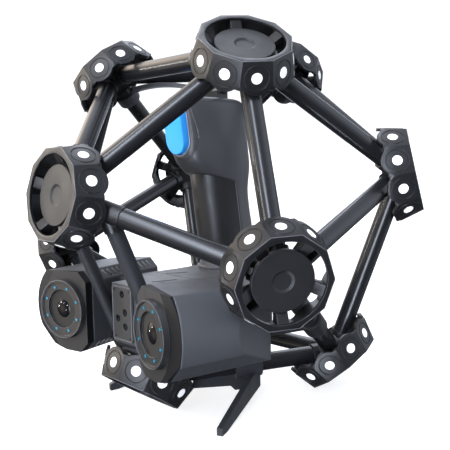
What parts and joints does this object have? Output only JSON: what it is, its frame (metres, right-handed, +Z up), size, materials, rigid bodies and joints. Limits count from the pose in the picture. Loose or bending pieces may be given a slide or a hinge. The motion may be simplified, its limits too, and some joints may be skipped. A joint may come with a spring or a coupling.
{
  "type": "laser scanner",
  "caption": "Hand-held laser scanner: two cameras and a laser module on a grip, inside a ball-shaped cage of target rings, on a two-legged stand.",
  "frame": {"origin": "on the surface it stands on, below the middle of the object's box", "axes": "+Z up, front (cameras and laser) towards -Y, +X to the right seen from the front camera side"},
  "size_m": [0.2466, 0.2316, 0.2382],
  "materials": {
    "ring_black": "satin moulded, fine grain",
    "cap_black": "satin moulded",
    "core_black": "satin moulded",
    "tube_black": "satin drawn tube",
    "strut_black": "satin paint",
    "housing_grey": "fine textured paint, blue grey",
    "bezel_black": "satin moulded",
    "lens_ring_black": "smooth moulded",
    "lens_glass": "coated optical glass",
    "lens_metal": "black anodised",
    "lamp_cyan": "small clear lamps",
    "board_green": "solder mask",
    "laser_plate_black": "satin paint",
    "laser_metal": "turned",
    "grip_grey": "soft-touch moulded",
    "grip_rubber": "soft rubber",
    "trigger_blue": "smooth moulded",
    "switch_black": "moulded",
    "key_grey": "silicone keys",
    "arm_black": "satin paint",
    "clip_grey": "satin paint",
    "stand_grey": "satin paint",
    "inlet_metal": "turned"
  },
  "bodies": {
    "frame": {"target_rings": "ring_black", "hub_caps": "cap_black", "joint_cores": "core_black", "upper_tubes": "tube_black", "front_tubes": "tube_black", "rear_tubes": "tube_black", "lower_tubes": "tube_black", "housing_stubs": "tube_black", "housing_struts": "strut_black", "optics_housing": "housing_grey", "right_bezel": "bezel_black", "left_bezel": "bezel_black", "lens_rings": "lens_ring_black", "lens_glasses": "lens_glass", "right_lens_cell": "lens_metal", "left_lens_cell": "lens_metal", "right_sensor_board": "board_green", "left_sensor_board": "board_green", "camera_lamps": "lamp_cyan", "laser_plate": "laser_plate_black", "laser_modules": "laser_metal", "main_board": "board_green", "grip_body": "grip_grey", "grip_sleeve": "grip_rubber", "trigger_switch": "switch_black", "cable_inlet": "inlet_metal", "upper_arms": "clip_grey", "lower_arms": "arm_black", "arm_bracket": "arm_black", "stand": "stand_grey"},
    "trigger": {"trigger": "trigger_blue"},
    "low_key": {"low_key": "key_grey"},
    "middle_key": {"middle_key": "key_grey"},
    "high_key": {"high_key": "key_grey"}
  },
  "joints": [
    {"name": "trigger_pull", "type": "slide", "parent": "frame", "child": "trigger", "axis": [0, 0.998, -0.0628], "range_m": [0, 0.002], "stiffness_N_per_m": 600},
    {"name": "low_key_press", "type": "slide", "parent": "frame", "child": "low_key", "axis": [0, -0.9973, -0.0732], "range_m": [0, 0.0008], "stiffness_N_per_m": 800},
    {"name": "middle_key_press", "type": "slide", "parent": "frame", "child": "middle_key", "axis": [0, -0.9973, -0.0732], "range_m": [0, 0.0008], "stiffness_N_per_m": 800},
    {"name": "high_key_press", "type": "slide", "parent": "frame", "child": "high_key", "axis": [0, -0.9973, -0.0732], "range_m": [0, 0.0008], "stiffness_N_per_m": 800}
  ]
}
